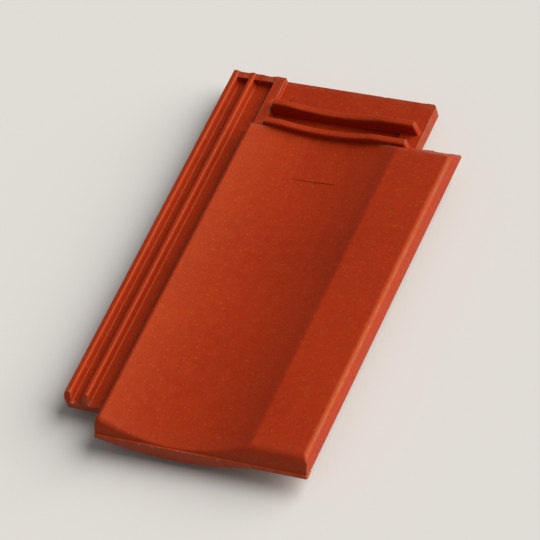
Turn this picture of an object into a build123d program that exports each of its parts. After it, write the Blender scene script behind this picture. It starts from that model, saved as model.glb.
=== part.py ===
from build123d import *

import os
from math import cos, radians, sin, sqrt, tan

# Pressed clay roof tile with side locks and a head lock, lying on its nibs and its foot rib.
# x runs across the tile to the covering side, y from the foot up the slope to the head, z up.
# While it is built, x = 0 is the outer face of the shoulder, y = 0 the front of the foot and
# z = 0 the level of the nib tips. At the end it moves to the middle of its own bounding box.

# How laid tiles repeat: the next one lies lower on the right, or higher up the slope
side_step = 4.5
cover_length = 344.0
course_rise = 21.0
head_lap = 74.0

# Trough, shoulder and crown
trough_width = 148.0
trough_depth = 13.0
body_thickness = 12.0
crown_thickness = 11.0
shoulder_radius = 3.5
crease_radius = 14.0
crown_edge_radius = 6.0

# Side lock on the left: outer rib, outer channel, inner rib, inner channel, shoulder wall
lock_rib_width = 7.0
lock_rib_height = 8.0
outer_channel_width = 10.0
inner_channel_width = 20.0
lock_thickness = 10.0
lock_start = 30.0
lock_end_run = 7.0
shoulder_wall = 10.0
rib_draft = 1.0

# Underside of the crown, which closes over the side lock of the next tile
joint_gap = 3.0
flap_wall = 9.0
downstand_setback = 2.5
downstand_width = 8.0
lock_clearance = 2.5
flap_clearance = 3.5

# Foot: lip, rounded nose and front wall
lip_drop = 0.8
lip_ledge = 1.6
lip_radius = 1.2
nose_angle = 66.0
nose_top_radius = 9.0
nose_base_radius = 1.5
front_wall = 10.0
front_gap = 4.0
front_radius = 2.0

# Head lock: two ribs on the head plate, with the foot rib of the tile above between them
head_slope_start = 8.0
head_slope_angle = 45.0
crown_end_thickness = 4.0
plate_drop = 1.0
head_play = 3.5
head_rib_width = 7.0
head_rib_height = 7.0
head_rib_limit = 12.0
head_rib_inset = 3.0
foot_rib_width = 8.0
foot_rib_inset = 14.0
foot_rib_draft = 5.0
foot_rib_clearance = 1.5

# Nibs, nail holes and stiffening ribs
nib_height = 11.0
nib_width = 32.0
nib_length = 14.0
nib_slope = 4.0
nib_edge_margin = 2.0
nib_radius = 2.0
nib_spacing = 74.0
nail_hole_diameter = 5.0
nail_hole_spacing = 104.0
stiffener_width = 8.0
stiffener_drop = 3.0
stiffener_spacing = 70.0
stiffener_margin = 12.0

# Low raised mark across the trough near its upper end
mark_width = 52.0
mark_offset = 8.0
mark_setback = 36.0
mark_rise = 0.9
mark_run = 30.0
mark_sink = 1.25

# Rounding of pressed edges, and what one form reaches into the next
rib_radius = 2.0
root_radius = 1.5
corner_radius = 4.0
overlap = 1.0

# Levels
plate_top = nib_height + body_thickness
trough_level = plate_top + plate_drop
crown_level = trough_level + trough_depth
crown_underside = crown_level - crown_thickness
lock_rib_top = crown_underside + side_step - lock_clearance
lock_top = lock_rib_top - lock_rib_height
lock_bottom = lock_top - lock_thickness
flap_bottom = lock_top - side_step + flap_clearance
lip_level = trough_level - lip_drop
front_depth = course_rise - front_gap
head_channel_floor = course_rise - foot_rib_clearance

# Stations across the tile
lock_width = 2 * lock_rib_width + outer_channel_width + inner_channel_width
trough_middle = trough_width / 2
downstand_inside = trough_width + downstand_setback
body_edge = downstand_inside + downstand_width
next_lock_edge = body_edge + lock_clearance
cover_width = next_lock_edge + lock_width
crown_edge = cover_width - joint_gap
flap_inside = crown_edge - flap_wall
cover_rib_left = next_lock_edge + lock_rib_width + lock_clearance
cover_rib_right = cover_rib_left + outer_channel_width - 2 * lock_clearance

# Stations along the tile
tile_length = cover_length + head_lap
slope_start = cover_length + head_slope_start
crown_end_level = flap_bottom + crown_end_thickness
crown_end = slope_start + (crown_level - crown_end_level) / tan(radians(head_slope_angle))
lower_rib_start = cover_length + front_wall + head_play
lower_rib_end = lower_rib_start + head_rib_width
foot_rib_start = lower_rib_end + head_play - cover_length
foot_rib_end = foot_rib_start + foot_rib_width
upper_rib_start = cover_length + foot_rib_end + head_play
upper_rib_end = upper_rib_start + head_rib_width
nib_face = tile_length - nib_edge_margin - nib_length
nail_hole_y = (upper_rib_end + nib_face) / 2

trough_radius = (trough_middle**2 + trough_depth**2) / (2 * trough_depth)


def trough_z(x, depth=0.0):
    """Height of the trough's surface at x, or of the surface that lies depth below it."""
    centre = trough_level + trough_radius
    return centre - sqrt((trough_radius + depth) ** 2 - (x - trough_middle) ** 2)


def trough_arc(x_start, x_end, depth=0.0):
    """Arc across the trough between two stations, depth below its surface."""
    ends = [(x, trough_z(x, depth)) for x in (x_start, x_end)]
    middle = (x_start + x_end) / 2
    return ThreePointArc(ends[0], (middle, trough_z(middle, depth)), ends[1])


def rounded(section, corners, radius):
    """The section with the corners nearest to the given points rounded."""
    picked = [section.vertices().sort_by_distance(Vector(x, z, 0))[0] for x, z in corners]
    return fillet(picked, radius)


def run_along(section, start, end):
    """Solid with a section across the tile, from one station along it to another."""
    placed = Plane.XZ.offset(-start) * section
    return extrude(placed, amount=end - start, dir=(0, 1, 0))


def run_across(profile, start, end):
    """Solid with a profile along the tile, from one station across it to another."""
    placed = Plane.YZ.offset(start) * profile
    return extrude(placed, amount=end - start, dir=(1, 0, 0))


def body_section():
    """Trough, crown, covering flap and the two ribs under the crown."""
    flap_corners = [(crown_edge, flap_bottom), (flap_inside, flap_bottom)]
    rib_corners = [(cover_rib_right, flap_bottom), (cover_rib_left, flap_bottom)]
    stand_corners = [(body_edge, flap_bottom), (downstand_inside, flap_bottom)]
    roots = [
        (flap_inside - rib_draft, crown_underside),
        (cover_rib_right + rib_draft, crown_underside),
        (cover_rib_left - rib_draft, crown_underside),
        (body_edge + rib_draft, crown_underside),
    ]
    stand_root = (downstand_inside, trough_z(downstand_inside, body_thickness))
    top = trough_arc(0, trough_width)
    bottom = trough_arc(0, downstand_inside, body_thickness)
    rim = Polyline(
        (trough_width, crown_level),
        (crown_edge, crown_level),
        flap_corners[0],
        flap_corners[1],
        roots[0],
        roots[1],
        rib_corners[0],
        rib_corners[1],
        roots[2],
        roots[3],
        stand_corners[0],
        stand_corners[1],
        stand_root,
    )
    side = Line((0, trough_z(0, body_thickness)), (0, crown_level))
    section = make_face([top, rim, bottom, side])
    section = rounded(section, [(0, crown_level)], shoulder_radius)
    section = rounded(section, [(trough_width, crown_level)], crease_radius)
    section = rounded(section, [(crown_edge, crown_level)], crown_edge_radius)
    section = rounded(section, flap_corners + rib_corners + stand_corners, rib_radius)
    return rounded(section, roots + [stand_root], root_radius)


def lock_section():
    """Two upstanding ribs and two channels beside the shoulder, with the shoulder's wall."""
    outer = -lock_width
    outer_inside = outer + lock_rib_width
    inner_outside = outer_inside + outer_channel_width
    inner_inside = inner_outside + lock_rib_width
    tops = [
        (outer, lock_rib_top),
        (outer_inside - rib_draft, lock_rib_top),
        (inner_outside + rib_draft, lock_rib_top),
        (inner_inside - rib_draft, lock_rib_top),
        (shoulder_wall, lock_rib_top),
    ]
    roots = [(x, lock_top) for x in (outer_inside, inner_outside, inner_inside, 0)]
    bottoms = [(shoulder_wall, lock_bottom), (outer, lock_bottom)]
    outer_rib = [tops[0], tops[1], roots[0]]
    inner_rib = [roots[1], tops[2], tops[3], roots[2]]
    wall = [roots[3], (0, lock_rib_top), tops[4]]
    section = make_face(Polyline(*outer_rib, *inner_rib, *wall, *bottoms, close=True))
    section = rounded(section, tops[:4] + bottoms, rib_radius)
    return rounded(section, roots, root_radius)


def lock_end():
    """Space above the slope at which the ribs of the side lock end towards the foot."""
    low = lock_top + root_radius
    high = lock_rib_top + overlap
    profile = make_face(
        Polyline(
            (lock_start - overlap, low),
            (lock_start, low),
            (lock_start + lock_end_run, high),
            (lock_start - overlap, high),
            close=True,
        )
    )
    return run_across(profile, -lock_width - overlap, 0)


def front_section():
    """Front wall, whose lower edge follows the top of the tile below and closes off the crown."""
    half = body_thickness / 2
    lower = trough_arc(0, trough_width, front_depth)
    right = Polyline(
        (trough_width, trough_z(trough_width, front_depth)),
        (body_edge, flap_bottom),
        (crown_edge, flap_bottom),
        (crown_edge, crown_level - crown_edge_radius - overlap),
        (trough_width, trough_z(trough_width, half)),
    )
    upper = trough_arc(trough_width, 0, half)
    left = Line((0, trough_z(0, half)), (0, trough_z(0, front_depth)))
    return make_face([lower, right, upper, left])


def nose_profile():
    """Space above the foot: a lip with a narrow ledge, then the rounded nose up to the crown."""
    angle = radians(nose_angle)
    climb = crown_level - lip_level
    top_run = nose_top_radius * sin(angle)
    top_fall = nose_top_radius * (1 - cos(angle))
    slope_run = (climb - top_fall) / tan(angle)
    slope_foot = (lip_ledge + nose_base_radius * tan(angle / 2), lip_level)
    slope_head = (slope_foot[0] + slope_run, crown_level - top_fall)
    crest = (slope_head[0] + top_run, crown_level)
    above = crown_level + overlap
    lip_curve = RadiusArc((0, lip_level - lip_radius), (lip_radius, lip_level), lip_radius)
    ledge = Polyline((lip_radius, lip_level), slope_foot, slope_head)
    top_curve = TangentArc(slope_head, crest, tangent=(cos(angle), sin(angle)))
    outside = Polyline(
        crest,
        (crest[0], above),
        (-overlap, above),
        (-overlap, lip_level - lip_radius),
        (0, lip_level - lip_radius),
    )
    profile = make_face([lip_curve, ledge, top_curve, outside])
    return rounded(profile, [slope_foot], nose_base_radius)


def slope_profile():
    """Space above the slope at which trough, shoulder and crown end towards the head."""
    fall = tan(radians(head_slope_angle))
    above = crown_level + overlap
    return make_face(
        Polyline(
            (slope_start - overlap / fall, above),
            (crown_end + overlap / fall, crown_end_level - overlap),
            (crown_end + 2 * overlap, crown_end_level - overlap),
            (crown_end + 2 * overlap, above),
            close=True,
        )
    )


def block(x_start, x_end, z_start, z_end):
    """Rectangular section between two stations across the tile and two levels."""
    return make_face(
        Polyline((x_start, z_start), (x_end, z_start), (x_end, z_end), (x_start, z_end), close=True)
    )


def head_rib(start):
    """Rounded rib across the head plate, hollowed like the underside of the tile above."""
    reach = sqrt((trough_radius - head_rib_height) ** 2 - (trough_radius - head_rib_limit) ** 2)
    base = plate_top - overlap
    top = trough_level + head_rib_limit
    left = trough_middle - reach
    right = trough_middle + reach
    last = body_edge - head_rib_inset
    lip = Polyline(
        (left, top),
        (shoulder_wall + head_rib_inset, top),
        (shoulder_wall - overlap, base),
        (last, base),
        (last - head_rib_inset, top),
        (right, top),
    )
    hollow = ThreePointArc((right, top), (trough_middle, trough_level + head_rib_height), (left, top))
    solid = run_along(make_face([lip, hollow]), start, start + head_rib_width)
    flanks = [edge for edge in solid.edges() if abs(edge.tangent_at(0.5).Y) < cos(radians(45))]
    return fillet([edge for edge in flanks if edge.center().Z > plate_top], rib_radius)


def foot_rib():
    """Rib under the foot, level below and sloped at its ends."""
    left = foot_rib_inset
    right = trough_width - foot_rib_inset
    half = body_thickness / 2
    ends = Polyline(
        (right, trough_z(right, half)),
        (right - foot_rib_draft, 0),
        (left + foot_rib_draft, 0),
        (left, trough_z(left, half)),
    )
    section = make_face([ends, trough_arc(left, right, half)])
    solid = run_along(section, foot_rib_start, foot_rib_end)
    return fillet(solid.edges().group_by(Axis.Z)[0], root_radius)


def nib(middle):
    """Hanging nib with a steep face down the slope, which bears on the batten."""
    profile = make_face(
        Polyline(
            (nib_face, nib_height + overlap),
            (nib_face, 0),
            (nib_face + nib_length - nib_slope, 0),
            (nib_face + nib_length, nib_height + overlap),
            close=True,
        )
    )
    solid = run_across(profile, middle - nib_width / 2, middle + nib_width / 2)
    return fillet(solid.edges().group_by(Axis.Z)[0], nib_radius)


def raised_mark():
    """Low ledge in the trough, flatter than the trough, so that it fades out at both ends."""
    middle = trough_middle + mark_offset
    left = middle - mark_width / 2
    right = middle + mark_width / 2
    ends = [(x, trough_z(x)) for x in (left, right)]
    top = ThreePointArc(ends[0], (middle, trough_z(middle) + mark_rise), ends[1])
    sides = [Line((x, trough_z(x)), (x, trough_z(x, overlap))) for x in (left, right)]
    outline = [top, sides[1], trough_arc(right, left, overlap), sides[0]]
    placed = Plane.XZ.offset(mark_setback - cover_length) * make_face(outline)
    sink = mark_rise * mark_sink
    return extrude(placed, amount=sqrt(mark_run**2 + sink**2), dir=(0, mark_run, -sink))


def roof_tile():
    """The whole tile, in the stations and levels named above."""
    tile = run_along(body_section(), 0, crown_end)
    tile += run_along(front_section(), 0, front_wall)
    front_edges = tile.edges().group_by(Axis.Y)[0]
    tile = fillet([edge for edge in front_edges if edge.center().Z < lip_level - front_radius], front_radius)
    tile -= run_across(slope_profile(), -overlap, crown_edge + overlap)
    tile += run_along(block(0, body_edge, nib_height, plate_top), slope_start, tile_length)
    tile += run_along(lock_section(), lock_start, tile_length) - lock_end()
    lock_stop = block(overlap - lock_width, overlap, lock_top - overlap, lock_rib_top - overlap)
    tile += run_along(lock_stop, tile_length - head_rib_width, tile_length)
    for start in (lower_rib_start, upper_rib_start):
        tile += head_rib(start)
    channel = block(
        foot_rib_inset - head_play,
        trough_width - foot_rib_inset + head_play,
        head_channel_floor,
        crown_level,
    )
    tile -= run_along(channel, lower_rib_end, upper_rib_start)
    tile += foot_rib()
    for side in (-1, 1):
        tile += nib(trough_middle + side * nib_spacing / 2)
        hole = Cylinder(nail_hole_diameter / 2, 4 * body_thickness)
        tile -= Pos(trough_middle + side * nail_hole_spacing / 2, nail_hole_y, nib_height) * hole
        middle = trough_middle + side * stiffener_spacing / 2
        stiffener = block(
            middle - stiffener_width / 2,
            middle + stiffener_width / 2,
            trough_z(middle, body_thickness) - stiffener_drop,
            trough_z(middle, body_thickness / 2),
        )
        tile += run_along(stiffener, head_lap + stiffener_margin, slope_start)
    tile += raised_mark()
    tile -= run_across(nose_profile(), -overlap, crown_edge + overlap)
    upright = tile.edges().filter_by(Axis.Z)
    corners = [(body_edge, tile_length), (-lock_width, lock_start)]
    picked = [upright.sort_by_distance(Vector(x, y, (lock_bottom + lock_top) / 2))[0] for x, y in corners]
    return fillet(picked, corner_radius)


os.makedirs("parts", exist_ok=True)
tile = roof_tile()
box = tile.bounding_box()
centre = box.center()
tile = Pos(-centre.X, -centre.Y, -box.min.Z) * tile
export_step(tile, "parts/roof_tile.step")
print("size", box.size, "origin moved by", -centre.X, -centre.Y, -box.min.Z)
print("solids", len(tile.solids()), "volume", tile.volume, "valid", tile.is_valid)
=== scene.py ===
"""Looks of one pressed clay roof tile: satin engobe, speckle, raw clay below and chipped edges."""

import logging
import math
from dataclasses import dataclass, field
from typing import Any, Iterable, Optional

import bmesh
import bpy
from mathutils import Matrix, Vector, noise
from mathutils.bvhtree import BVHTree
from mathutils.kdtree import KDTree


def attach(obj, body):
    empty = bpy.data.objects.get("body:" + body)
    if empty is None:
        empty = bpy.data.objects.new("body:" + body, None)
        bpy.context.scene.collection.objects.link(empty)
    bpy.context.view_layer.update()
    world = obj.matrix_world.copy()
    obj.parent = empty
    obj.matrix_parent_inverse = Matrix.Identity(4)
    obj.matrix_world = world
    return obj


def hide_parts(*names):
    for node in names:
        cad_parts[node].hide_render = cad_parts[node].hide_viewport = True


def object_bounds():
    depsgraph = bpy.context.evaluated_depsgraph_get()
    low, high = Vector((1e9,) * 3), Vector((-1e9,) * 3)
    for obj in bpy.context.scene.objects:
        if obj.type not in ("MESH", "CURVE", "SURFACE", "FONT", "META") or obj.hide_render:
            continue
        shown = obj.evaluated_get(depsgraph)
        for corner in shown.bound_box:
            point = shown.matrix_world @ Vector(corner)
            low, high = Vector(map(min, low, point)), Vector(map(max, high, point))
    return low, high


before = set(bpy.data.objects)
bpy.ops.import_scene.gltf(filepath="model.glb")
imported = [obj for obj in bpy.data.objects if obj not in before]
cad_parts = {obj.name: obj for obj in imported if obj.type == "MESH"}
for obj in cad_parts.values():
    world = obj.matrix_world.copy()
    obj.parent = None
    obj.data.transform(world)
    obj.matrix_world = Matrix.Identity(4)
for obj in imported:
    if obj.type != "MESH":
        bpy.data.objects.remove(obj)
CAD_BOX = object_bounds()

LOG = logging.getLogger("roof_tile")
MM = 0.001
TILE_NODE = "roof_tile"
DOWN = Vector((0.0, 0.0, -1.0))

Colour = tuple[float, float, float]
Point = tuple[float, float, float]
PlanPoint = tuple[float, float]
Span = tuple[float, float]

# Sockets of a Mix node that mixes colours
MIX_FACTOR, MIX_FIRST, MIX_SECOND, MIX_RESULT = 0, 6, 7, 2

# The value that a noise lies around
NOISE_MIDDLE = 0.5


@dataclass(frozen=True)
class Pattern:
    """A noise pattern on a piece, and the range of its value that counts.

    The size of its features is in millimetres. Detail is the number of finer layers, and rough
    their strength. Low is the value that shows nothing, and high the one that shows in full.
    """

    size: float
    detail: float = 2.0
    rough: float = 0.5
    low: float = 0.0
    high: float = 1.0


class Signal:
    """A value in a node tree, on which shader maths is written as Python maths."""

    def __init__(self, tree: "Tree", socket: bpy.types.NodeSocket) -> None:
        """Wraps an output socket of a node in the tree."""
        self.tree = tree
        self.socket = socket

    def _with(self, operation: str, first: Any, second: Any) -> "Signal":
        """One Math node on two values, either of which may be a plain number."""
        return self.tree.add("ShaderNodeMath", {"operation": operation}, {0: first, 1: second})

    def __add__(self, other: Any) -> "Signal":
        """Sum."""
        return self._with("ADD", self, other)

    __radd__ = __add__

    def __sub__(self, other: Any) -> "Signal":
        """Difference."""
        return self._with("SUBTRACT", self, other)

    def __rsub__(self, other: Any) -> "Signal":
        """Difference from a plain number."""
        return self._with("SUBTRACT", other, self)

    def __mul__(self, other: Any) -> "Signal":
        """Product."""
        return self._with("MULTIPLY", self, other)

    __rmul__ = __mul__

    def clamped(self) -> "Signal":
        """The value held between zero and one."""
        return self.tree.add("ShaderNodeClamp", {}, {0: self})

    def spread(self, low: float, high: float) -> "Signal":
        """The value stretched so that low becomes zero and high one, and held between the two."""
        settings = {"interpolation_type": "SMOOTHSTEP"}
        return self.tree.add("ShaderNodeMapRange", settings, {0: self, 1: low, 2: high})


class Tree:
    """The node tree of one material."""

    def __init__(self, name: str) -> None:
        """Makes a material with an empty tree.

        Args:
            name: The material's name.
        """
        self.material = bpy.data.materials.new(name)
        self.material.use_nodes = True
        self.nodes = self.material.node_tree.nodes
        self.links = self.material.node_tree.links
        self.nodes.clear()

    def add(self, kind: str, settings: dict[str, Any], inputs: dict[Any, Any], output: Any = 0) -> Signal:
        """Adds a node, sets it up and feeds it.

        Args:
            kind: The node's type.
            settings: Its properties, such as a Math node's operation.
            inputs: Values or signals for its input sockets, by index or name.
            output: The index or name of the output that is wanted.

        Returns:
            The wanted output.
        """
        node = self.nodes.new(kind)
        for key, value in settings.items():
            setattr(node, key, value)
        for key, value in inputs.items():
            self.feed(node.inputs[key], value)
        return Signal(self, node.outputs[output])

    def feed(self, socket: bpy.types.NodeSocket, value: Any) -> None:
        """Gives a socket a value or a link.

        Args:
            socket: The input socket.
            value: A signal, a number, or a colour as a tuple of three.
        """
        if isinstance(value, Signal):
            self.links.new(value.socket, socket)
        elif isinstance(value, tuple):
            socket.default_value = (*value, 1.0)
        else:
            socket.default_value = value

    def place(self) -> Signal:
        """The point on the piece, in metres."""
        return self.add("ShaderNodeTexCoord", {}, {}, "Object")

    def along(self, place: Signal) -> Signal:
        """How far up the slope a point on the piece lies, in metres."""
        return self.add("ShaderNodeSeparateXYZ", {}, {0: place}, "Y")

    def attribute(self, name: str) -> Signal:
        """A number kept on the mesh."""
        return self.add("ShaderNodeAttribute", {"attribute_name": name}, {}, "Fac")

    def noise(self, place: Signal, pattern: Pattern) -> Signal:
        """The noise of a pattern, as a value around its middle.

        Args:
            place: The point that the noise is read at.
            pattern: The pattern, whose range isn't used.

        Returns:
            The noise.
        """
        inputs = {
            "Vector": place,
            "Scale": 1.0 / (pattern.size * MM),
            "Detail": pattern.detail,
            "Roughness": pattern.rough,
        }
        return self.add("ShaderNodeTexNoise", {}, inputs)

    def spots(self, place: Signal, pattern: Pattern) -> Signal:
        """The noise of a pattern, stretched over its range."""
        return self.noise(place, pattern).spread(pattern.low, pattern.high)

    def cells(self, place: Signal, size: float) -> Signal:
        """How far a point lies from the middle of its cell, for cells of a size in millimetres."""
        inputs = {"Vector": place, "Scale": 1.0 / (size * MM)}
        return self.add("ShaderNodeTexVoronoi", {}, inputs, "Distance")

    def mix(self, factor: Any, first: Any, second: Any) -> Signal:
        """The first colour mixed with the second, of which the factor is the share."""
        inputs = {MIX_FACTOR: factor, MIX_FIRST: first, MIX_SECOND: second}
        return self.add("ShaderNodeMix", {"data_type": "RGBA"}, inputs, MIX_RESULT)

    def bump(self, height: Signal, depth: float) -> Signal:
        """The normal that a height bends, where a height of one stands for a depth in millimetres."""
        return self.add("ShaderNodeBump", {}, {"Height": height, "Distance": depth * MM, "Strength": 1.0})

    def finish(
        self, colour: Any, roughness: Any, normal: Optional[Signal], specular: float, tint: Colour
    ) -> bpy.types.Material:
        """Closes the tree with a surface shader.

        Args:
            colour: Base colour.
            roughness: Roughness.
            normal: Bent normal, or None.
            specular: Specular level, the same all over.
            tint: Colour of the sheen, the same all over.

        Returns:
            The finished material.
        """
        inputs = {
            "Base Color": colour,
            "Roughness": roughness,
            "Specular IOR Level": specular,
            "Specular Tint": tint,
        }
        if normal is not None:
            inputs["Normal"] = normal
        shader = self.add("ShaderNodeBsdfPrincipled", {}, inputs, "BSDF")
        output = self.nodes.new("ShaderNodeOutputMaterial")
        self.feed(output.inputs["Surface"], shader)
        return self.material


@dataclass(frozen=True)
class Engobe:
    """Satin clay slip on the pressed top, over raw fired clay that shows below and in chips."""

    # Colours of the engobe
    deep: Colour = (0.318, 0.0138, 0.0010)
    middle: Colour = (0.350, 0.0175, 0.0012)
    bright: Colour = (0.390, 0.0270, 0.0026)
    grain_dark: Colour = (0.205, 0.0100, 0.0012)
    grain_pale: Colour = (0.520, 0.1000, 0.0250)
    # Paler colour of edge wear and of the painted highlight along the edges, also mixed in as a painted
    # sheen along the foot
    wear_and_highlight: Colour = (0.270, 0.0720, 0.0400)

    # Colours of the clay
    raw: Colour = (0.420, 0.1250, 0.0450)
    raw_deep: Colour = (0.300, 0.0700, 0.0240)
    raw_pale: Colour = (0.560, 0.2250, 0.1050)
    chip: Colour = (0.640, 0.3100, 0.1700)

    # Patterns of the engobe, and how strongly each shows
    clouds: Pattern = Pattern(95.0, low=0.36, high=0.66)
    mottle: Pattern = Pattern(9.0, 3.0, 0.6, 0.30, 0.72)
    mottle_share: float = 0.35
    dark_grain: Pattern = Pattern(2.0, 2.0, 0.7, 0.56, 0.70)
    dark_share: float = 0.70
    pale_grain: Pattern = Pattern(2.4, 2.0, 0.7, 0.60, 0.72)
    pale_share: float = 0.42
    speck_spacing: float = 5.5
    speck_rim: Span = (0.06, 0.12)
    speck_groups: Pattern = Pattern(7.0, 0.0, 0.5, 0.52, 0.58)
    speck_share: float = 0.45

    # Wear and painted highlight along the edges, a faint painted sheen band along the foot, whose place is
    # in metres, and chips
    rubbing_and_highlight: Pattern = Pattern(8.0, 3.0, 0.6, 0.30, 0.70)
    rubbed_and_highlit_edge: Span = (0.10, 0.90)
    rubbed_and_highlight_share: float = 0.80
    # Band along the foot where a painted sheen is mixed in, and its strength
    foot_sheen_band: Span = (-0.182, -0.197)
    foot_sheen_share: float = 0.12
    foot_sheen_even: float = 0.5
    chipping: Pattern = Pattern(3.4, 4.0, 0.75, 0.60, 0.66)
    chipped_edge: Span = (0.25, 0.95)
    chip_share: float = 0.8

    # The clay, and the ragged line at which the engobe ends
    sand: Pattern = Pattern(2.6, 4.0, 0.7, 0.30, 0.72)
    patches: Pattern = Pattern(14.0, 3.0, 0.5, 0.45, 0.75)
    patch_share: float = 0.6
    rags: Pattern = Pattern(5.0, 4.0, 0.7)
    raggedness: float = 0.9
    engobe_line: Span = (0.42, 0.58)

    # Gloss
    roughness: float = 0.54
    raw_roughness: float = 0.88
    grain_roughness: float = 0.25
    mottle_roughness: float = 0.06
    chip_roughness: float = 0.35
    specular: float = 0.50
    sheen_tint: Colour = (1.0, 0.74, 0.30)

    # Relief, in millimetres, and the share of it that each pattern takes
    relief: float = 0.55
    waves: Pattern = Pattern(42.0, 1.0)
    wave_relief: float = 0.7
    pores: Pattern = Pattern(0.9, 2.0, 0.6)
    pore_relief: float = 0.10
    dimples: Pattern = Pattern(3.2, 3.0)
    dimple_relief: float = 0.16
    knocks: Pattern = Pattern(4.0, 3.0, 0.6)
    knock_relief: float = 0.35
    chip_relief: float = 0.35
    sand_relief: float = 0.25

    def material(self) -> bpy.types.Material:
        """Builds the finish.

        Returns:
            The material, which reads the tile's engobe and edge attributes.
        """
        tree = Tree("fired_clay_engobe")
        place = tree.place()
        edge = tree.attribute("edge")
        mottle = tree.spots(place, self.mottle)
        grain = tree.noise(place, self.dark_grain)
        sand = tree.spots(place, self.sand)
        chipped = (tree.spots(place, self.chipping) * edge.spread(*self.chipped_edge)).clamped()
        ragged = (tree.noise(place, self.rags) - NOISE_MIDDLE) * self.raggedness
        covered = (tree.attribute("engobe") + ragged).spread(*self.engobe_line)

        top = self._engobe_colour(tree, place, edge, mottle, grain)
        below = tree.mix(sand, self.raw_deep, self.raw)
        below = tree.mix(tree.spots(place, self.patches) * self.patch_share, below, self.raw_pale)
        colour = tree.mix(covered, below, top)
        colour = tree.mix(chipped * self.chip_share, colour, self.chip)

        gloss = self.roughness + (grain - NOISE_MIDDLE) * self.grain_roughness
        gloss = gloss + mottle * self.mottle_roughness
        roughness = gloss * covered + (1.0 - covered) * self.raw_roughness
        roughness = (roughness + chipped * self.chip_roughness).clamped()

        height = tree.noise(place, self.pores) * self.pore_relief
        height = height + tree.noise(place, self.dimples) * self.dimple_relief
        height = height + tree.noise(place, self.waves) * self.wave_relief
        height = height - chipped * self.chip_relief
        height = height + (1.0 - covered) * sand * self.sand_relief
        height = height + edge * tree.noise(place, self.knocks) * self.knock_relief
        normal = tree.bump(height, self.relief)
        return tree.finish(colour, roughness, normal, self.specular, self.sheen_tint)

    def _engobe_colour(
        self, tree: Tree, place: Signal, edge: Signal, mottle: Signal, grain: Signal
    ) -> Signal:
        """Colour of the engobe, with its grain, its specks, wear and painted highlights along the outer
        edges, and a painted sheen along the foot.

        Args:
            tree: The tree of the material.
            place: The point on the piece.
            edge: How near it is to an outer edge, from zero to one.
            mottle: How bright the engobe is there.
            grain: Noise of the dark grain.

        Returns:
            The colour.
        """
        pale_grain = tree.spots(place, self.pale_grain)
        specks = 1.0 - tree.cells(place, self.speck_spacing).spread(*self.speck_rim)
        grouped = specks * tree.spots(place, self.speck_groups)
        pale = pale_grain * self.pale_share + grouped * self.speck_share
        # Pale along the outer edges: partly wear, partly a painted highlight
        rubbed_and_highlit = edge.spread(*self.rubbed_and_highlit_edge) * tree.spots(place, self.rubbing_and_highlight)
        # Painted sheen: a paler band on the nose along the foot, where the bend catches the light
        foot = tree.along(place).spread(*self.foot_sheen_band) * self.foot_sheen_share

        top = tree.mix(tree.spots(place, self.clouds), self.deep, self.middle)
        top = tree.mix(mottle * self.mottle_share, top, self.bright)
        dark = grain.spread(self.dark_grain.low, self.dark_grain.high)
        top = tree.mix(dark * self.dark_share, top, self.grain_dark)
        top = tree.mix(pale, top, self.grain_pale)
        # Edge wear and painted highlight along the outer edges
        top = tree.mix(rubbed_and_highlit * self.rubbed_and_highlight_share, top, self.wear_and_highlight)
        # Painted sheen along the foot, broken up by the pale grain
        return tree.mix(foot * (self.foot_sheen_even + pale_grain), top, self.wear_and_highlight)


@dataclass(frozen=True)
class PaleFloor:
    """Plain pale floor under the tile."""

    colour: Colour = (0.73, 0.72, 0.70)
    roughness: float = 0.85
    specular: float = 0.2
    sheen_tint: Colour = (1.0, 1.0, 1.0)

    def material(self) -> bpy.types.Material:
        """Builds the finish of the floor."""
        tree = Tree("pale_floor")
        return tree.finish(self.colour, self.roughness, None, self.specular, self.sheen_tint)


def search_tree(points: Iterable[Vector]) -> KDTree:
    """Makes a search tree of points.

    Args:
        points: The points.

    Returns:
        A balanced tree that finds the nearest of them.
    """
    kept = list(points)
    tree = KDTree(len(kept))
    for index, point in enumerate(kept):
        tree.insert(point, index)
    tree.balance()
    return tree


@dataclass(frozen=True)
class EdgeLine:
    """A straight stretch of an edge of the tile, from one end to the other, in millimetres."""

    start: Point
    end: Point

    @classmethod
    def of(cls, line: bmesh.types.BMEdge) -> "EdgeLine":
        """The line along an edge of a mesh."""
        return cls(*(tuple(vertex.co / MM) for vertex in line.verts))

    def points(self, spacing: float) -> list[Vector]:
        """Points along the line.

        Args:
            spacing: Distance from one point to the next, in millimetres.

        Returns:
            The points, in metres.
        """
        start, end = Vector(self.start) * MM, Vector(self.end) * MM
        count = max(1, int((end - start).length / (spacing * MM)))
        return [start.lerp(end, step / count) for step in range(count + 1)]


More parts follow.
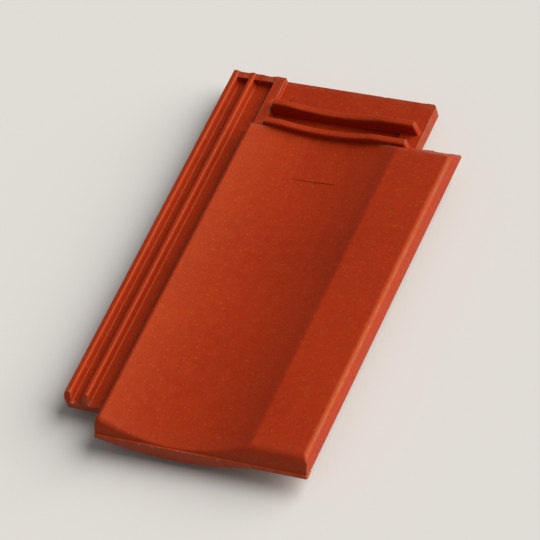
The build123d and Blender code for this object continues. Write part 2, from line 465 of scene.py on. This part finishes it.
@dataclass
class FiredTile:
    """The pressed tile as it comes from the kiln, with softened edges and a fine surface.

    Lengths are in millimetres and angles in degrees, and heights are above the floor.
    """

    # Joining of the frame's triangles, and the grids on which they are cut
    weld: float = 0.002
    flat_angle: float = 1.0
    grid: float = 8.0
    grid_margin: float = 2.0
    sliver: float = 0.01
    fine_grid: float = 2.0
    fine_rounds: int = 2

    # Rounding of crisp edges, and what counts as a fold that the rounding made
    edge_width: float = 0.7
    edge_segments: int = 3
    edge_angle: float = 40.0
    rim_spacing: float = 0.5
    rounding_tries: int = 5
    least_fold: float = 0.02
    fold_turn: float = -0.2
    fold_reach: float = 2.0
    fold_spacing: float = 1.0

    # Rounded nose between the lip and the trough
    foot_length: float = 30.0
    lip_ledge: float = 1.9
    lip_level: float = 23.2
    side_margin: float = 12.0
    nose_softness: float = 2.2
    nose_slope_share: float = 0.25
    nose_stations: tuple[float, ...] = (-2.0, -1.5, -1.0, -0.5, 0.0, 0.5, 1.0, 1.5, 2.0)
    nose_lean: float = 0.1

    # Open field of the trough, the mark in it, and the nail holes in the head plate
    field_start: float = 60.0
    field_end: float = 345.0
    field_left: float = -70.0
    field_right: float = 60.0
    mark_low: PlanPoint = (-23.5, 98.9)
    mark_high: PlanPoint = (29.5, 130.0)
    mark_clearance: float = 1.0
    mark_filled: float = 0.38
    nail_holes: tuple[PlanPoint, ...] = ((-57.0, 185.25), (47.0, 185.25))
    nail_hole_reach: float = 3.0

    # Where the engobe is sprayed on: its share on an upright face, and the gain with the slope
    engobe_upright: float = 0.8
    engobe_gain: float = 1.2
    spray_clearance: float = 0.4
    spray_slope: float = 0.3
    spray_enough: int = 2
    spray_ways: tuple[Point, ...] = (
        (0.0, 0.0, 1.0),
        (0.6, 0.0, 0.8),
        (-0.6, 0.0, 0.8),
        (0.0, 0.6, 0.8),
        (0.0, -0.6, 0.8),
    )

    # Wear, painted highlight and chips along the outer edges, and the warp of the kiln
    edge_reach: float = 1.7
    edge_point_spacing: float = 1.0
    least_edge_line: float = 2.0
    chip_depth: float = 0.8
    chip_size: float = 6.0
    chip_level: float = 0.35
    chip_shift: Point = (3.7, 1.9, 8.2)
    warp: float = 0.12
    warp_size: float = 60.0
    # The crown's right edge and the lip, along which wear, chips and a pale painted highlight line are
    # drawn
    wear_and_highlight_lines: tuple[EdgeLine, ...] = (
        EdgeLine((121.2, -189.0, 35.2), (121.2, 143.0, 35.2)),
        EdgeLine((-79.0, -208.3, 23.0), (123.0, -208.3, 23.0)),
    )
    engobe: Engobe = field(default_factory=Engobe)

    def build(self) -> bpy.types.Object:
        """Makes the piece that stands for the tile's node.

        Returns:
            The finished object, dressed and riding on its body.
        """
        shape = bmesh.new()
        shape.from_mesh(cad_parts[TILE_NODE].data)
        bmesh.ops.remove_doubles(shape, verts=shape.verts, dist=self.weld * MM)
        self._cut_up(shape)
        shape, wear_and_highlight = self._soften(shape)
        self._refine(shape, wear_and_highlight)
        self._fill_mark(shape)
        self._round_nose(shape)
        self._record_engobe_and_edges(shape, wear_and_highlight)
        self._chip(shape)
        self._warp(shape)
        mesh = bpy.data.meshes.new("fired_tile")
        shape.to_mesh(mesh)
        shape.free()
        mesh.shade_smooth()
        piece = bpy.data.objects.new("fired_tile", mesh)
        bpy.context.scene.collection.objects.link(piece)
        mesh.materials.append(self.engobe.material())
        shading = piece.modifiers.new("even_shading", "WEIGHTED_NORMAL")
        shading.mode = "FACE_AREA"
        shading.keep_sharp = True
        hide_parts(TILE_NODE)
        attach(piece, "root")
        return piece

    def _from_foot(self, point: Vector) -> float:
        """How far a point lies up the slope from the front of the foot, in millimetres."""
        return (point.y - CAD_BOX[0][1]) / MM

    def _on_nose(self, point: Vector) -> bool:
        """Whether a point lies on the rounded nose between the lip and the trough."""
        return self.lip_ledge < self._from_foot(point) < self.foot_length and point.z > self.lip_level * MM

    def _in_field(self, line: bmesh.types.BMEdge) -> bool:
        """Whether an edge lies in the open field of the trough, where nothing rubs.

        Args:
            line: An edge of the tile.

        Returns:
            True if it does.
        """
        point = line.verts[0].co
        along = self.field_start < self._from_foot(point) < self.field_end
        return along and self.field_left < point.x / MM < self.field_right and point.z > self.lip_level * MM

    def _in_nail_hole(self, line: bmesh.types.BMEdge) -> bool:
        """Whether an edge lies on the wall or rim of a nail hole, which is pierced and stays sharp."""
        place = (line.verts[0].co / MM).to_2d()
        return any((place - Vector(hole)).length < self.nail_hole_reach for hole in self.nail_holes)

    def _is_crisp(self, line: bmesh.types.BMEdge) -> bool:
        """Whether the press leaves an edge sharp enough to be rounded here.

        Args:
            line: An edge of the tile.

        Returns:
            False where it bends little, beside tiny faces, and in the field, nail holes and nose.
        """
        if len(line.link_faces) != 2 or line.calc_face_angle(0.0) < math.radians(self.edge_angle):
            return False
        if self._in_field(line) or self._in_nail_hole(line):
            return False
        right = CAD_BOX[1][0] - self.side_margin * MM
        if all(self._on_nose(vertex.co) and vertex.co.x < right for vertex in line.verts):
            return False
        return min(face.calc_area() for face in line.link_faces) > (self.edge_width * MM) ** 2

    def _cut_up(self, shape: bmesh.types.BMesh) -> None:
        """Joins the flat faces and cuts them on a grid, so that no face runs the tile's whole length.

        Args:
            shape: The tile as it comes from the frame, with its doubles merged.
        """
        flat = math.radians(self.flat_angle)
        bmesh.ops.dissolve_limit(shape, angle_limit=flat, verts=shape.verts, edges=shape.edges)
        low, high = CAD_BOX
        for axis, normal in ((1, Vector((0.0, 1.0, 0.0))), (0, Vector((1.0, 0.0, 0.0)))):
            count = int((high[axis] - low[axis]) / (self.grid * MM))
            for step in range(1, count):
                station = low[axis] + step * self.grid * MM
                faces = [face for face in shape.faces if self._crosses(face, axis, station)]
                edges = dict.fromkeys(line for face in faces for line in face.edges)
                verts = dict.fromkeys(vertex for face in faces for vertex in face.verts)
                bmesh.ops.bisect_plane(
                    shape,
                    geom=[*verts, *edges, *faces],
                    dist=self.sliver * MM,
                    plane_co=normal * station,
                    plane_no=normal,
                )

    def _soften(self, shape: bmesh.types.BMesh) -> tuple[bmesh.types.BMesh, KDTree]:
        """Rounds the edges that the press leaves sharp, and leaves those where the rounding would fold.

        Args:
            shape: The tile as it comes from the frame, cut up.

        Returns:
            The rounded tile, and points along its edges that stand out, where it wears and where a
            highlight is painted.
        """
        crisp = [line for line in shape.edges if self._is_crisp(line)]
        outer = [line for line in crisp if line.is_convex and line.calc_length() > self.least_edge_line * MM]
        edges = [EdgeLine.of(line) for line in outer]
        surface = BVHTree.FromBMesh(shape)
        to_round = set(crisp)
        for line in shape.edges:
            gentle = line.calc_face_angle(0.0) < math.radians(self.edge_angle)
            line.smooth = line in to_round or gentle or self._on_nose(line.verts[0].co)
        for _ in range(self.rounding_tries):
            shape.edges.index_update()
            trial = shape.copy()
            trial.edges.ensure_lookup_table()
            self._round_edges(trial, [trial.edges[line.index] for line in crisp], surface)
            folds = search_tree(self._folds(trial, surface))
            near = [line for line in crisp if self._is_near(line, folds)]
            if not near:
                break
            for line in near:
                line.smooth = False
            crisp = [line for line in crisp if line.smooth]
        shape.free()
        wear_and_highlight = (*edges, *self.wear_and_highlight_lines)
        return trial, search_tree(point for line in wear_and_highlight for point in line.points(self.edge_point_spacing))

    def _round_edges(
        self, shape: bmesh.types.BMesh, crisp: list[bmesh.types.BMEdge], surface: BVHTree
    ) -> None:
        """Rounds some edges and makes every face a triangle.

        A point that lands far from its edge is brought back towards it, and one that lands off the
        surface is put onto it.

        Args:
            shape: The tile.
            crisp: The edges.
            surface: The tile's surface before any rounding.
        """
        lines = [EdgeLine.of(line) for line in crisp]
        rims = search_tree(point for line in lines for point in line.points(self.rim_spacing))
        made = bmesh.ops.bevel(
            shape,
            geom=crisp,
            offset=self.edge_width * MM,
            offset_type="OFFSET",
            segments=self.edge_segments,
            profile=0.5,
            affect="EDGES",
            clamp_overlap=False,
            loop_slide=True,
            material=-1,
        )
        for vertex in made["verts"]:
            rim, _, distance = rims.find(vertex.co)
            if distance > 2 * self.edge_width * MM:
                vertex.co = rim.lerp(vertex.co, self.edge_width * MM / distance)
            place, _, _, distance = surface.find_nearest(vertex.co)
            if distance > self.edge_width * MM / 2:
                vertex.co = place
        bmesh.ops.triangulate(shape, faces=shape.faces)

    def _folds(self, shape: bmesh.types.BMesh, surface: BVHTree) -> list[Vector]:
        """Where faces have turned over.

        Args:
            shape: The rounded tile.
            surface: The tile's surface before any rounding.

        Returns:
            The middles of those faces.
        """
        shape.normal_update()
        folds = []
        for face in shape.faces:
            middle = face.calc_center_median()
            if face.calc_area() > self.least_fold * MM**2:
                outwards = surface.find_nearest(middle)[1]
                if face.normal.dot(outwards) < self.fold_turn:
                    folds.append(middle)
        return folds

    def _is_near(self, line: bmesh.types.BMEdge, places: KDTree) -> bool:
        """Whether any of some places is within the rounding's reach of an edge.

        Args:
            line: The edge.
            places: The places, of which there may be none.

        Returns:
            True if one of them is.
        """
        reach = self.fold_reach * MM
        points = EdgeLine.of(line).points(self.fold_spacing)
        return any((places.find(point)[2] or math.inf) < reach for point in points)

    def _refine(self, shape: bmesh.types.BMesh, wear_and_highlight: KDTree) -> None:
        """Cuts the faces finer on the nose and along the edges where the tile wears and a highlight is
        painted.

        Args:
            shape: The tile.
            wear_and_highlight: Points along the edges that stand out.
        """
        for _ in range(self.fine_rounds):
            long_edges = [
                line
                for line in shape.edges
                if line.calc_length() > self.fine_grid * MM and self._is_fine(line, wear_and_highlight)
            ]
            bmesh.ops.subdivide_edges(shape, edges=long_edges, cuts=1)
            bmesh.ops.triangulate(shape, faces=shape.faces)

    def _crosses(self, face: bmesh.types.BMFace, axis: int, station: float) -> bool:
        """Whether a face reaches well past both sides of a plane across an axis.

        Args:
            face: The face.
            axis: The number of the axis.
            station: Where the plane crosses the axis, in metres.

        Returns:
            True if it does.
        """
        places = [vertex.co[axis] - station for vertex in face.verts]
        margin = self.grid_margin * MM
        return min(places) < -margin and max(places) > margin

    def _is_fine(self, line: bmesh.types.BMEdge, wear_and_highlight: KDTree) -> bool:
        """Whether an edge lies on the nose or where the tile wears and a highlight is painted."""
        middle = (line.verts[0].co + line.verts[1].co) / 2
        return self._on_nose(middle) or wear_and_highlight.find(middle)[2] < self.edge_reach * MM

    def _fill_mark(self, shape: bmesh.types.BMesh) -> None:
        """Lowers the mark in the trough, whose step the engobe fills in part.

        Args:
            shape: The tile.
        """
        surface = BVHTree.FromBMesh(shape)
        (left, start), (right, end) = self.mark_low, self.mark_high
        for vertex in shape.verts:
            x, y, z = vertex.co / MM
            if left < x < right and start < y < end and z > self.lip_level:
                origin = Vector((x, start - self.mark_clearance, 2 * z)) * MM
                trough = surface.ray_cast(origin, DOWN)[0]
                vertex.co.z -= self.mark_filled * (vertex.co.z - trough.z)

    def _round_nose(self, shape: bmesh.types.BMesh) -> None:
        """Rounds the crest between the nose and the trough, which the press leaves soft.

        Each point takes the mean height of the surface a little up and down the slope from it,
        over a distance that grows with its height above the lip.

        Args:
            shape: The tile.
        """
        shape.normal_update()
        surface = BVHTree.FromBMesh(shape)
        weights = [(station, math.exp(-station * station / 2)) for station in self.nose_stations]
        moved = []
        for vertex in shape.verts:
            if not self._on_nose(vertex.co) or vertex.normal.z < self.nose_lean:
                continue
            height = vertex.co.z - self.lip_level * MM
            width = min(self.nose_softness * MM, self.nose_slope_share * height)
            total = share = 0.0
            for station, weight in weights:
                origin = Vector((vertex.co.x, vertex.co.y + station * width, 2 * CAD_BOX[1][2]))
                hit = surface.ray_cast(origin, DOWN)[0]
                if hit is not None:
                    total += hit.z * weight
                    share += weight
            if share > 0.0:
                moved.append((vertex, total / share))
        for vertex, level in moved:
            vertex.co.z = level

    def _record_engobe_and_edges(self, shape: bmesh.types.BMesh, wear_and_highlight: KDTree) -> None:
        """Keeps on each vertex how much engobe it has and how near it is to an outer edge.

        Args:
            shape: The tile.
            wear_and_highlight: Points along the edges that stand out.
        """
        shape.normal_update()
        slip = shape.verts.layers.float.new("engobe")
        edge = shape.verts.layers.float.new("edge")
        surface = BVHTree.FromBMesh(shape)
        for vertex in shape.verts:
            share = self.engobe_upright + vertex.normal.z * self.engobe_gain
            vertex[slip] = min(1.0, max(0.0, share))
            if vertex.normal.z < self.spray_slope:
                start = vertex.co + vertex.normal * self.spray_clearance * MM
                hits = [surface.ray_cast(start, Vector(way))[0] for way in self.spray_ways]
                vertex[slip] *= min(1.0, hits.count(None) / self.spray_enough)
            distance = wear_and_highlight.find(vertex.co)[2] / MM
            vertex[edge] = max(0.0, 1.0 - distance / self.edge_reach)

    def _chip(self, shape: bmesh.types.BMesh) -> None:
        """Takes small chips out of the outer edges.

        Args:
            shape: The tile.
        """
        edge = shape.verts.layers.float["edge"]
        shift = Vector(self.chip_shift)
        for vertex in shape.verts:
            chance = noise.noise(vertex.co / (self.chip_size * MM) + shift)
            share = max(0.0, chance - self.chip_level) / (1.0 - self.chip_level)
            depth = share * vertex[edge] * self.chip_depth
            vertex.co -= vertex.normal * depth * MM

    def _warp(self, shape: bmesh.types.BMesh) -> None:
        """Bends the surface a little, as drying and firing do.

        Args:
            shape: The tile.
        """
        for vertex in shape.verts:
            wave = noise.noise(vertex.co / (self.warp_size * MM))
            vertex.co.z += wave * self.warp * MM


@dataclass
class Studio:
    """Pale floor, a soft key lamp from the right and from up the slope, and an even sky.

    The floor's size is in metres, and the lamp's width as seen from the tile is in degrees.
    """

    floor_size: float = 14.0
    sky: float = 0.20
    sky_colour: tuple[float, ...] = (1.0, 1.0, 1.0, 1.0)
    key_power: float = 4.5
    key_angle: float = 62.0
    key_from: Point = (1.25, 0.70, 1.0)
    key_colour: Colour = (1.0, 0.97, 0.93)

    def build(self) -> None:
        """Puts the floor, the lamp and the sky in place."""
        self._lay_floor()
        self._hang_key()
        self._light_sky()

    def _lay_floor(self) -> None:
        """Makes the floor."""
        shape = bmesh.new()
        bmesh.ops.create_grid(shape, x_segments=1, y_segments=1, size=self.floor_size / 2)
        mesh = bpy.data.meshes.new("floor")
        shape.to_mesh(mesh)
        shape.free()
        floor = bpy.data.objects.new("floor", mesh)
        bpy.context.scene.collection.objects.link(floor)
        mesh.materials.append(PaleFloor().material())

    def _hang_key(self) -> None:
        """Makes the key lamp, a broad sun."""
        lamp = bpy.data.lights.new("key", "SUN")
        lamp.energy = self.key_power
        lamp.angle = math.radians(self.key_angle)
        lamp.color = self.key_colour
        key = bpy.data.objects.new("key", lamp)
        key.rotation_euler = Vector(self.key_from).to_track_quat("Z", "Y").to_euler()
        bpy.context.scene.collection.objects.link(key)

    def _light_sky(self) -> None:
        """Makes the white sky, which lights evenly from all sides."""
        world = bpy.data.worlds.new("sky")
        bpy.context.scene.world = world
        world.use_nodes = True
        background = world.node_tree.nodes["Background"]
        background.inputs["Color"].default_value = self.sky_colour
        background.inputs["Strength"].default_value = self.sky


@dataclass
class View:
    """Camera at the angle from which the photograph looks at the tile.

    Its distance is in metres, and its lens and sensor are in millimetres.
    """

    looks_along: Point = (-0.410, 0.537, -0.737)
    picture_up: Point = (-0.157, 0.749, 0.644)
    distance: float = 3.75
    lens: float = 285.0
    sensor: float = 36.0

    def build(self) -> None:
        """Makes the camera and gives it to the scene."""
        along = Vector(self.looks_along).normalized()
        up = Vector(self.picture_up)
        up = (up - up.dot(along) * along).normalized()
        right = along.cross(up)
        low, high = CAD_BOX
        middle = (Vector(low) + Vector(high)) / 2
        data = bpy.data.cameras.new("camera")
        data.lens = self.lens
        data.sensor_width = self.sensor
        data.sensor_fit = "HORIZONTAL"
        camera = bpy.data.objects.new("camera", data)
        turn = Matrix((right, up, -along)).transposed().to_4x4()
        camera.matrix_world = Matrix.Translation(middle - along * self.distance) @ turn
        bpy.context.scene.collection.objects.link(camera)
        bpy.context.scene.camera = camera


def main() -> None:
    """Builds the camera, the tile and the studio in order."""
    logging.basicConfig(level=logging.INFO, format="%(name)s: %(message)s")
    bpy.context.scene.view_settings.view_transform = "Standard"
    View().build()
    tile = FiredTile().build()
    LOG.info("%s has %d faces", tile.name, len(tile.data.polygons))
    Studio().build()


if __name__ == "__main__":
    main()
